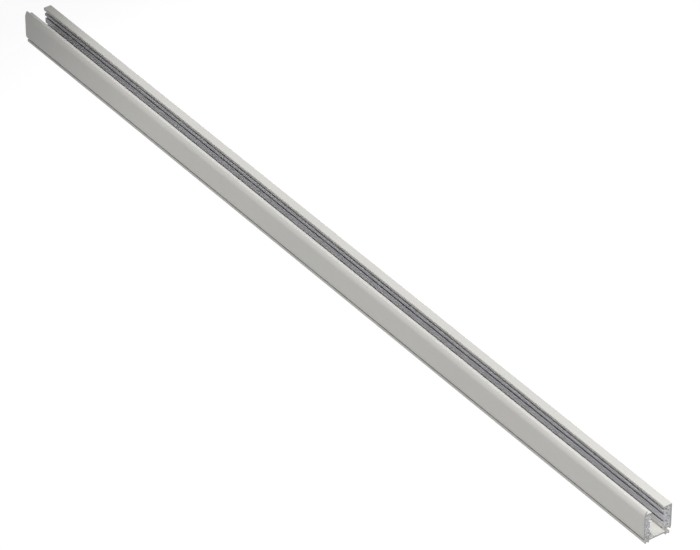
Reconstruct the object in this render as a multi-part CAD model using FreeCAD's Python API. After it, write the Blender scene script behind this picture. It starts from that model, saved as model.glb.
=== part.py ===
import FreeCAD, Part
import math
import os

V = FreeCAD.Vector

# Length of track, width over the walls and height to the lips
length = 1000.0
width = 31.0
body_height = 32.5

# Channel walls, with the inward curve at the foot of each
wall = 1.5
skirt_top = 9.2
skirt_radius = 9.6
skirt_sweep = 26.0
skirt_tip_radius = 0.6

# Lips either side of the mouth, each with a return hanging from its edge
mouth = 13.8
lip = 1.2
return_height = 3.1
return_wall = 1.4
lip_edge_radius = 0.9

# Polarity ridge curving in above one wall
ridge_rise = 3.75
ridge_radius = 10.0
ridge_sweep = 40.5
ridge_tip_radius = 0.6

# Web across the back, on two stems, with a small key rib
web_height = 2.3
web = 1.6
stem = 1.2
stem_pitch = 19.6
key_offset = -4.5
key_width = 1.4
key_height = 1.6

# Shelf under each insulator: a ledge with an upright rib at its edge and a seat on the wall
ledge_height = 7.1
ledge = 1.7
rib = 1.2
rib_height = 2.2
rib_overhang = 1.45
seat = 1.2
seat_reach = 1.6

# Keeper above each insulator, with an open pocket between it and the lip
keeper = 1.3
keeper_reach = 3.2
lip_pocket = 3.65

# Clip foot outside each stem
neck_height = 1.2
neck = 1.0
toe = 1.2
toe_height = 3.0
toe_inset = 1.85

# Insulator strip, set back from the cut ends: three arms, a nose, two slots and a relief behind
insulator_setback = 0.9
insulator_inset = 0.85
nose = 0.4
slot_rise = 2.75
slot_drop = 4.15
slot_height = 2.5
slot_lip = 0.6
slot_depth = 3.0
relief_depth = 2.2
relief_height = 3.6
slit_depth = 1.6
slit_height = 0.8
arm_radius = 0.3

# Copper strip at the back of each slot, as tall as the pocket behind the slot's lips
conductor_thickness = 0.8
conductor_height = 3.8
conductor_setback = 4.0

# Fixing holes through the web
fixing_diameter = 5.2
fixing_inset = 100.0

# Softened edges and inner corners of the extrusion
edge_radius = 0.2
root_radius = 0.6

# Levels and faces that follow from these sizes
half = width / 2
wall_face = half - wall
lip_edge = mouth / 2
return_bottom = body_height - return_height
ridge_top = body_height + ridge_rise
ridge_start = ridge_top - ridge_radius * math.sin(math.radians(ridge_sweep))
ledge_top = ledge_height + ledge
rib_top = ledge_top + rib_height
keeper_top = body_height - lip - lip_pocket
insulator_top = keeper_top - keeper
insulator_height = insulator_top - rib_top
lower_slot = rib_top + slot_rise
slot_pitch = insulator_height - slot_rise - slot_drop
upper_slot = lower_slot + slot_pitch
insulator_middle = lower_slot + slot_pitch / 2
web_top = web_height + web
stem_inner = (stem_pitch - stem) / 2
stem_outer = stem_inner + stem
rib_inner = stem_inner - rib_overhang
rib_outer = rib_inner + rib
toe_outer = half - toe_inset
slot_levels = [lower_slot, upper_slot]
insulator_tip = lip_edge + insulator_inset
nose_tip = insulator_tip - nose
nose_bottom = upper_slot + slot_height / 2
pocket_front = insulator_tip + slot_lip
slot_bottom = insulator_tip + slot_depth
pocket_back = slot_bottom + conductor_thickness
start = -length / 2


def face(edges):
    return Part.Face(Part.Wire(Part.__sortEdges__(edges)))


def polygon(points):
    corners = [V(start, y, z) for y, z in points]
    return Part.Face(Part.makePolygon(corners + corners[:1]))


def bar(y0, y1, z0, z1):
    return polygon([(y0, z0), (y1, z0), (y1, z1), (y0, z1)])


def centred_bar(y0, y1, middle, height):
    return bar(y0, y1, middle - height / 2, middle + height / 2)


def curled_band(centre_z, radius, sweep):
    # A wall-thick strip that leaves the wall at centre_z and curls inward
    def at(r, share):
        angle = math.radians(sweep * share)
        return V(start, half - radius + r * math.cos(angle), centre_z + r * math.sin(angle))

    inner = radius - wall
    return face([
        Part.Arc(at(radius, 0), at(radius, 0.5), at(radius, 1)).toShape(),
        Part.LineSegment(at(radius, 1), at(inner, 1)).toShape(),
        Part.Arc(at(inner, 1), at(inner, 0.5), at(inner, 0)).toShape(),
        Part.LineSegment(at(inner, 0), at(radius, 0)).toShape(),
    ])


def flipped(shape):
    return shape.mirror(V(0, 0, 0), V(0, 1, 0))


def extruded(section, setback=0.0):
    strip = section.translated(V(setback, 0, 0))
    return strip.extrude(V(length - 2 * setback, 0, 0))


def joined(sections, setback=0.0):
    strips = [extruded(section, setback) for section in sections]
    return strips[0].fuse(strips[1:]).removeSplitter().Solids[0]


def long_edges(solid, places):
    # The edges along the track that pass through the given points of the section
    found = []
    for edge in solid.Edges:
        first, last = edge.Vertexes[0].Point, edge.Vertexes[-1].Point
        if abs(last.x - first.x) < length / 2:
            continue
        if any(math.hypot(first.y - y, first.z - z) < 0.01 for y, z in places):
            found.append(edge)
    return found


def both_sides(places):
    return places + [(-y, z) for y, z in places]


def rounded(solid, radius, places):
    return solid.makeFillet(radius, long_edges(solid, places))


def half_section(wall_top):
    # One side of the extrusion, from its skirt up to its lip
    return [
        curled_band(skirt_top, skirt_radius, -skirt_sweep),
        bar(wall_face, half, skirt_top, wall_top),
        bar(lip_edge, wall_face, body_height - lip, body_height),
        bar(lip_edge, lip_edge + return_wall, return_bottom, body_height - lip),
        bar(wall_face - keeper_reach, wall_face, insulator_top, keeper_top),
        bar(rib_inner, wall_face, ledge_height, ledge_top),
        bar(rib_inner, rib_outer, ledge_top, rib_top),
        bar(wall_face - seat_reach, wall_face, rib_top - seat, rib_top),
        bar(stem_inner, stem_outer, 0, ledge_height),
        bar(stem_outer, toe_outer - toe, neck_height, neck_height + neck),
        bar(toe_outer - toe, toe_outer, 0, toe_height),
    ]


def band_tip(centre_z, radius, sweep):
    # The outer and inner corners at the free end of a curled band
    angle = math.radians(sweep)
    centre = half - radius
    radii = [radius, radius - wall]
    return [(centre + r * math.cos(angle), centre_z + r * math.sin(angle)) for r in radii]


def channel():
    ridge_side = half_section(ridge_start)
    ridge_side.append(curled_band(ridge_start, ridge_radius, ridge_sweep))
    section = half_section(body_height)
    section.extend(flipped(piece) for piece in ridge_side)
    section.append(bar(-stem_inner, stem_inner, web_height, web_top))
    section.append(polygon([
        (key_offset - key_width / 2, web_top),
        (key_offset + key_width / 2, web_top),
        (key_offset, web_top + key_height),
    ]))
    solid = joined(section)
    solid = rounded(solid, lip_edge_radius, both_sides([(lip_edge, body_height)]))
    solid = rounded(solid, edge_radius, both_sides([
        (lip_edge, return_bottom),
        (lip_edge + return_wall, return_bottom),
        (wall_face - keeper_reach, keeper_top),
        (rib_inner, ledge_height),
        (toe_outer, 0),
        (toe_outer, toe_height),
    ]) + [(half, body_height)])
    solid = rounded(solid, root_radius, both_sides([
        (lip_edge + return_wall, body_height - lip),
        (wall_face, keeper_top),
        (stem_inner, web_top),
        (stem_inner, web_height),
        (stem_outer, ledge_height),
    ]))
    skirt_tip = band_tip(skirt_top, skirt_radius, -skirt_sweep)
    solid = rounded(solid, skirt_tip_radius, both_sides(skirt_tip))
    ridge_tip = band_tip(ridge_start, ridge_radius, ridge_sweep)
    solid = rounded(solid, ridge_tip_radius, [(-y, z) for y, z in ridge_tip])
    for end in (-1, 1):
        drill = Part.makeCylinder(fixing_diameter / 2, web_top, V(end * (length / 2 - fixing_inset), 0, 0))
        solid = solid.cut(drill)
    return solid


def insulator():
    # The strip on the plain side, its slots opening towards the middle of the track
    solid = joined([
        bar(insulator_tip, wall_face, rib_top, insulator_top),
        bar(nose_tip, insulator_tip, nose_bottom, insulator_top),
    ], insulator_setback)
    relief_face = wall_face - relief_depth
    cuts = [
        centred_bar(relief_face, wall_face, insulator_middle, relief_height),
        centred_bar(relief_face - slit_depth, relief_face, insulator_middle, slit_height),
    ]
    for level in slot_levels:
        cuts.append(centred_bar(insulator_tip, pocket_front, level, slot_height))
        cuts.append(centred_bar(pocket_front, pocket_back, level, conductor_height))
    solid = solid.cut([extruded(cut) for cut in cuts])
    return rounded(solid, arm_radius, [
        (insulator_tip, rib_top),
        (insulator_tip, lower_slot - slot_height / 2),
        (insulator_tip, lower_slot + slot_height / 2),
        (insulator_tip, upper_slot - slot_height / 2),
        (nose_tip, nose_bottom),
        (nose_tip, insulator_top),
    ])


def conductor_section(level):
    return centred_bar(slot_bottom, pocket_back, level, conductor_height)


def conductor(level):
    return extruded(conductor_section(level), conductor_setback)


pieces = {
    "aluminium_channel": channel(),
    "insulator_plain_side": insulator(),
    "insulator_ridge_side": flipped(insulator()),
    "conductor_l2": conductor(lower_slot),
    "conductor_l3": conductor(upper_slot),
    "conductor_neutral": flipped(conductor(lower_slot)),
    "conductor_l1": flipped(conductor(upper_slot)),
}

os.makedirs("parts", exist_ok=True)
for name, shape in pieces.items():
    shape.exportStep("parts/" + name + ".step")
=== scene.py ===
import math

import bmesh
import bpy
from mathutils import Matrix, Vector


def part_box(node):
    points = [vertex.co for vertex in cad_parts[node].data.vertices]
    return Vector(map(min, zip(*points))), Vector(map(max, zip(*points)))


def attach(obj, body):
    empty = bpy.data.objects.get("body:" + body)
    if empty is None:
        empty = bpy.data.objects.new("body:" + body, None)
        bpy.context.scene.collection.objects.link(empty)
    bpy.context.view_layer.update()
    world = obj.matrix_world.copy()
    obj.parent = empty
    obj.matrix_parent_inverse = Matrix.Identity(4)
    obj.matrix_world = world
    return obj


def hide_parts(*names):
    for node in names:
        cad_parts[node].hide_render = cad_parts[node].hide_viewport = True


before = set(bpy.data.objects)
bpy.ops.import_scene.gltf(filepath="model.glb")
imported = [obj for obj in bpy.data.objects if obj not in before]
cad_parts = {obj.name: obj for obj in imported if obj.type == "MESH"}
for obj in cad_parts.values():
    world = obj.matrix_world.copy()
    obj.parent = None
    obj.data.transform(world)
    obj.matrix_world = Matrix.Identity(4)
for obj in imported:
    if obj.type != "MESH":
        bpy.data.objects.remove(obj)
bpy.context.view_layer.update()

MM = 0.001

# Camera of the photograph: a long lens above the near end, on the ridge side
CAMERA_AZIMUTH = 54.217
CAMERA_ELEVATION = 35.633
CAMERA_DISTANCE = 4.9129
CAMERA_ASIDE = 0.02137
CAMERA_RAISED = -0.0039
SENSOR_WIDTH = 36.0
FOCAL_LENGTH = 267.2

# Soft light all round, strongest low down on the camera's side
DOME_FRONT = 0.71
DOME_BACK = 0.05
DOME_ZENITH = 0.1
DOME_FACING = (0.8, -0.6, 0.0)
DOME_SEEN = 1.0

# White floor, which throws less light back at the far end
FLOOR_SIZE = 12.0
FLOOR_GREY = "616161"
FLOOR_SEEN = 0.93
FLOOR_BOUNCE = 0.32
FLOOR_BOUNCE_FAR = 0.15
FLOOR_FADE_FAR = -0.6
FLOOR_FADE_NEAR = -0.3

# Kinds of ray that show the dome and the floor as white
WHITE_RAYS = ("Is Camera Ray", "Is Glossy Ray", "Is Transmission Ray")

# Distant spots from above and from the camera's side, aimed at one point of the track
SPOT_DISTANCE = 7.0
SPOT_RADIUS = 0.03
SPOT_AIM = (0.3, 0.0, 0.0)
OVERHEAD_TOWARDS = (0.1, -0.15, 0.98)
OVERHEAD_POWER = 780.0
OVERHEAD_CONE = 13.95
OVERHEAD_BLEND = 0.31
FRONT_TOWARDS = (0.7, -0.28, 0.655)
FRONT_POWER = 850.0
FRONT_CONE = 9.4
FRONT_BLEND = 0.44

# Small lamp over the near end, and a low sun behind
END_LAMP_PLACE = (0.6, 0.0, 0.17)
END_LAMP_POWER = 0.14
END_LAMP_RADIUS = 0.02
BACK_TOWARDS = (-0.3, 0.93, 0.2)
BACK_STRENGTH = 1.3
BACK_ANGLE = 10.0

# Grain of the finishes; tooth marks, die lines and draw lines are coarser than real ones, so that they show
COAT_PATCH = 45 * MM
ORANGE_PEEL = 1.4 * MM
PEEL_DEPTH = 0.012 * MM
TOOTH_MARK = 0.8 * MM
TOOTH_DEPTH = 0.003 * MM
TOOTH_WANDER = 0.4
DIE_LINE = 0.6 * MM
DIE_DEPTH = 0.01 * MM
DRAW_LINE = 0.3 * MM
TARNISH_PATCH = 18 * MM

# Stretch along the track that makes lines of noise, and a wave texture's wave at scale 1
LENGTHWISE = (0.01, 1.0, 1.0)
WAVE_LENGTH = math.pi / 10

# Broken edges of the sawn ends
DEBURR = 0.12 * MM
DEBURR_STEPS = 2
DEBURR_REACH = 1.5 * DEBURR
WELD = 0.001 * MM
FLAT_ANGLE = 1.0
SHARP_ANGLE = 25.0


def colour(hex_code):
    # An sRGB hex value as linear red, green, blue and alpha
    parts = [int(hex_code[i:i + 2], 16) / 255 for i in (0, 2, 4)]
    linear = [p / 12.92 if p <= 0.04045 else ((p + 0.055) / 1.055) ** 2.4 for p in parts]
    return (*linear, 1.0)


def add(tree, kind, sockets=None, **settings):
    # Adds a node, sets what is given and links what is a socket
    node = tree.nodes.new(kind)
    for name, value in settings.items():
        setattr(node, name, value)
    for name, value in (sockets or {}).items():
        if isinstance(value, bpy.types.NodeSocket):
            tree.links.new(value, node.inputs[name])
        else:
            node.inputs[name].default_value = value
    return node


def new_material(name):
    material = bpy.data.materials.new(name)
    material.use_nodes = True
    material.node_tree.nodes.clear()
    return material, material.node_tree


def powder_coated_aluminium():
    # Polyester powder baked on: warm white, satin, with a faint orange peel
    material, tree = new_material("powder_coated_aluminium")
    place = add(tree, "ShaderNodeTexCoord").outputs["Object"]
    tone = add(tree, "ShaderNodeTexNoise", {"Vector": place, "Scale": 1 / COAT_PATCH, "Detail": 2.0})
    shade = add(tree, "ShaderNodeMix", {
        "Factor": tone.outputs["Fac"], "A": colour("DAD9D4"), "B": colour("E0DFDB"),
    }, data_type="RGBA")
    peel = add(tree, "ShaderNodeTexNoise", {"Vector": place, "Scale": 1 / ORANGE_PEEL, "Detail": 2.0})
    satin = add(tree, "ShaderNodeMapRange", {"Value": peel.outputs["Fac"], "To Min": 0.38, "To Max": 0.48})
    relief = add(tree, "ShaderNodeBump", {"Height": peel.outputs["Fac"], "Distance": PEEL_DEPTH})
    coating = add(tree, "ShaderNodeBsdfPrincipled", {
        "Base Color": shade.outputs["Result"], "Roughness": satin.outputs["Result"], "IOR": 1.5,
        "Normal": relief.outputs["Normal"],
    })
    add(tree, "ShaderNodeOutputMaterial", {"Surface": coating.outputs["BSDF"]})
    return material


def sawn_finish(name, hollow, crest, metallic):
    # Left by the saw: dull, with faint straight tooth marks
    material, tree = new_material(name)
    place = add(tree, "ShaderNodeTexCoord").outputs["Object"]
    marks = add(tree, "ShaderNodeTexWave", {
        "Vector": place, "Scale": WAVE_LENGTH / TOOTH_MARK, "Distortion": TOOTH_WANDER, "Detail": 2.0,
    }, bands_direction="Z")
    shade = add(tree, "ShaderNodeMix", {
        "Factor": marks.outputs["Fac"], "A": colour(hollow), "B": colour(crest),
    }, data_type="RGBA")
    relief = add(tree, "ShaderNodeBump", {"Height": marks.outputs["Fac"], "Distance": TOOTH_DEPTH})
    cut = add(tree, "ShaderNodeBsdfPrincipled", {
        "Base Color": shade.outputs["Result"], "Metallic": metallic, "Roughness": 0.55,
        "Normal": relief.outputs["Normal"],
    })
    add(tree, "ShaderNodeOutputMaterial", {"Surface": cut.outputs["BSDF"]})
    return material


def extruded_pvc():
    # Rigid vinyl from a die: cool grey, matt, with faint lines along its length
    material, tree = new_material("extruded_pvc")
    place = add(tree, "ShaderNodeTexCoord").outputs["Object"]
    along = add(tree, "ShaderNodeMapping", {"Vector": place, "Scale": LENGTHWISE})
    lines = add(tree, "ShaderNodeTexNoise", {
        "Vector": along.outputs["Vector"], "Scale": 1 / DIE_LINE, "Detail": 2.0,
    })
    shade = add(tree, "ShaderNodeMix", {
        "Factor": lines.outputs["Fac"], "A": colour("D6D7DD"), "B": colour("DFE0E5"),
    }, data_type="RGBA")
    relief = add(tree, "ShaderNodeBump", {"Height": lines.outputs["Fac"], "Distance": DIE_DEPTH})
    plastic = add(tree, "ShaderNodeBsdfPrincipled", {
        "Base Color": shade.outputs["Result"], "Roughness": 0.5, "IOR": 1.53,
        "Normal": relief.outputs["Normal"],
    })
    add(tree, "ShaderNodeOutputMaterial", {"Surface": plastic.outputs["BSDF"]})
    return material


def drawn_copper():
    # Strip drawn through a die: bright along the draw lines, browned in patches by the air
    material, tree = new_material("drawn_copper")
    place = add(tree, "ShaderNodeTexCoord").outputs["Object"]
    along = add(tree, "ShaderNodeMapping", {"Vector": place, "Scale": LENGTHWISE})
    lines = add(tree, "ShaderNodeTexNoise", {
        "Vector": along.outputs["Vector"], "Scale": 1 / DRAW_LINE, "Detail": 3.0,
    })
    tarnish = add(tree, "ShaderNodeTexNoise", {"Vector": place, "Scale": 1 / TARNISH_PATCH, "Detail": 4.0})
    shade = add(tree, "ShaderNodeMix", {
        "Factor": tarnish.outputs["Fac"], "A": colour("B98465"), "B": colour("80563F"),
    }, data_type="RGBA")
    gloss = add(tree, "ShaderNodeMapRange", {"Value": lines.outputs["Fac"], "To Min": 0.22, "To Max": 0.42})
    metal = add(tree, "ShaderNodeBsdfPrincipled", {
        "Base Color": shade.outputs["Result"], "Metallic": 1.0, "Roughness": gloss.outputs["Result"],
    })
    add(tree, "ShaderNodeOutputMaterial", {"Surface": metal.outputs["BSDF"]})
    return material


def to_mesh(name, bm):
    mesh = bpy.data.meshes.new(name)
    bm.to_mesh(mesh)
    bm.free()
    return mesh


def put_in_scene(name, data):
    thing = bpy.data.objects.new(name, data)
    bpy.context.scene.collection.objects.link(thing)
    return thing


def point_along(thing, direction):
    # Turns a camera or a lamp to look in a direction
    thing.rotation_mode = "QUATERNION"
    thing.rotation_quaternion = direction.to_track_quat("-Z", "Y")


def cut_length(name, node, side, end):
    # The CAD node's shape with its end edges broken and its sawn ends in their own finish
    low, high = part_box(node)
    bm = bmesh.new()
    bm.from_mesh(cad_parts[node].data)
    bmesh.ops.remove_doubles(bm, verts=bm.verts, dist=WELD)
    bmesh.ops.dissolve_limit(bm, angle_limit=math.radians(FLAT_ANGLE), verts=bm.verts, edges=bm.edges)

    def sawn(face, depth):
        return any(all(abs(v.co.x - x) < depth for v in face.verts) for x in (low.x, high.x))

    ends = [face for face in bm.faces if sawn(face, WELD)]
    rims = [edge for edge in bm.edges if sum(face in ends for face in edge.link_faces) == 1]
    bmesh.ops.bevel(
        bm, geom=rims, offset=DEBURR, affect="EDGES", segments=DEBURR_STEPS, profile=0.5, material=-1,
    )
    for face in bm.faces:
        face.smooth = True
        face.material_index = 1 if sawn(face, DEBURR_REACH) else 0
    mesh = to_mesh(name, bm)
    mesh.materials.append(side)
    mesh.materials.append(end)
    mesh.set_sharp_from_angle(angle=math.radians(SHARP_ANGLE))
    piece = put_in_scene(name, mesh)
    even = piece.modifiers.new("even_shading", "WEIGHTED_NORMAL")
    even.keep_sharp = True
    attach(piece, "root")
    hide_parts(node)


def seen_as_white(tree, level, white):
    # The given level of light, or white to the rays that look straight at it
    path = add(tree, "ShaderNodeLightPath")
    seen = path.outputs[WHITE_RAYS[0]]
    for ray in WHITE_RAYS[1:]:
        either = add(tree, "ShaderNodeMath", {0: seen, 1: path.outputs[ray]}, operation="MAXIMUM")
        seen = either.outputs["Value"]
    shown = add(tree, "ShaderNodeMapRange", {"Value": seen, "To Min": level, "To Max": white})
    return shown.outputs["Result"]


def white_ground():
    # A pale floor that keeps the shadow and looks white to the camera
    material, tree = new_material("white_ground")
    place = add(tree, "ShaderNodeTexCoord").outputs["Object"]
    along = add(tree, "ShaderNodeSeparateXYZ", {"Vector": place}).outputs["X"]
    bounce = add(tree, "ShaderNodeMapRange", {
        "Value": along, "From Min": FLOOR_FADE_FAR, "From Max": FLOOR_FADE_NEAR,
        "To Min": FLOOR_BOUNCE_FAR, "To Max": FLOOR_BOUNCE,
    })
    glow = seen_as_white(tree, bounce.outputs["Result"], FLOOR_SEEN)
    shine = add(tree, "ShaderNodeEmission", {"Strength": glow})
    matt = add(tree, "ShaderNodeBsdfDiffuse", {"Color": colour(FLOOR_GREY)})
    both = add(tree, "ShaderNodeAddShader", {0: shine.outputs["Emission"], 1: matt.outputs["BSDF"]})
    add(tree, "ShaderNodeOutputMaterial", {"Surface": both.outputs["Shader"]})
    bm = bmesh.new()
    bmesh.ops.create_grid(bm, x_segments=1, y_segments=1, size=FLOOR_SIZE / 2)
    mesh = to_mesh("floor", bm)
    mesh.materials.append(material)
    floor = put_in_scene("floor", mesh)


def soft_dome():
    # Light that fades from front to back and towards the zenith, seen as white
    world = bpy.data.worlds.new("soft_dome")
    world.use_nodes = True
    tree = world.node_tree
    tree.nodes.clear()
    aim = add(tree, "ShaderNodeTexCoord").outputs["Generated"]
    height = add(tree, "ShaderNodeSeparateXYZ", {"Vector": aim}).outputs["Z"]
    facing = add(tree, "ShaderNodeVectorMath", {0: aim, 1: DOME_FACING}, operation="DOT_PRODUCT")
    side = add(tree, "ShaderNodeMapRange", {
        "Value": facing.outputs["Value"], "From Min": -1.0, "To Min": DOME_BACK, "To Max": DOME_FRONT,
    })
    glow = add(tree, "ShaderNodeMapRange", {
        "Value": height, "To Min": side.outputs["Result"], "To Max": DOME_ZENITH,
    })
    level = seen_as_white(tree, glow.outputs["Result"], DOME_SEEN)
    sky = add(tree, "ShaderNodeBackground", {"Strength": level})
    add(tree, "ShaderNodeOutputWorld", {"Surface": sky.outputs["Background"]})
    bpy.context.scene.world = world


def new_lamp(name, kind, power):
    data = bpy.data.lights.new(name, kind)
    data.energy = power
    return put_in_scene(name, data)


def spot_lamp(name, towards, power, cone, blend):
    # A distant spot whose edge falls off over the far end of the track
    lamp = new_lamp(name, "SPOT", power)
    lamp.data.shadow_soft_size = SPOT_RADIUS
    lamp.data.spot_size = math.radians(cone)
    lamp.data.spot_blend = blend
    lamp.location = Vector(towards).normalized() * SPOT_DISTANCE
    point_along(lamp, Vector(SPOT_AIM) - lamp.location)


def end_lamp():
    # A small lamp close over the near end, which lifts the last hand's breadth of the track
    lamp = new_lamp("end_lamp", "POINT", END_LAMP_POWER)
    lamp.data.shadow_soft_size = END_LAMP_RADIUS
    lamp.location = END_LAMP_PLACE
    lamp.visible_camera = False


def back_lamp():
    # A low sun from behind, so that the plain wall is lit too
    lamp = new_lamp("back_lamp", "SUN", BACK_STRENGTH)
    lamp.data.angle = math.radians(BACK_ANGLE)
    point_along(lamp, -Vector(BACK_TOWARDS))


def photograph_camera():
    azimuth = math.radians(CAMERA_AZIMUTH)
    elevation = math.radians(CAMERA_ELEVATION)
    back = Vector((
        math.sin(azimuth) * math.cos(elevation),
        -math.cos(azimuth) * math.cos(elevation),
        math.sin(elevation),
    ))
    right = Vector((math.cos(azimuth), math.sin(azimuth), 0.0))
    up = back.cross(right)
    data = bpy.data.cameras.new("photograph_camera")
    data.sensor_width = SENSOR_WIDTH
    data.lens = FOCAL_LENGTH
    camera = put_in_scene("photograph_camera", data)
    camera.location = back * CAMERA_DISTANCE + right * CAMERA_ASIDE + up * CAMERA_RAISED
    point_along(camera, -back)
    bpy.context.scene.camera = camera


bpy.context.scene.view_settings.view_transform = "Standard"

coat = powder_coated_aluminium()
sawn_metal = sawn_finish("sawn_aluminium", "9D9E9F", "A7A8A8", 0.5)
vinyl = extruded_pvc()
# The vinyl's sawn ends are a shade greyer than its sides: painted shade for the dimmer light on the end
# faces; the tooth marks are real
sawn_vinyl_painted_shade = sawn_finish("sawn_pvc_painted_shade", "C0C1C7", "C5C6CC", 0.0)
copper = drawn_copper()

cut_length("channel", "aluminium_channel", coat, sawn_metal)
for hand in ("ridge_side", "plain_side"):
    cut_length("insulator_strip_" + hand, "insulator_" + hand, vinyl, sawn_vinyl_painted_shade)
for line in ("l1", "l2", "l3", "neutral"):
    cut_length("copper_strip_" + line, "conductor_" + line, copper, copper)

white_ground()
soft_dome()
spot_lamp("overhead_lamp", OVERHEAD_TOWARDS, OVERHEAD_POWER, OVERHEAD_CONE, OVERHEAD_BLEND)
spot_lamp("front_lamp", FRONT_TOWARDS, FRONT_POWER, FRONT_CONE, FRONT_BLEND)
end_lamp()
back_lamp()
photograph_camera()
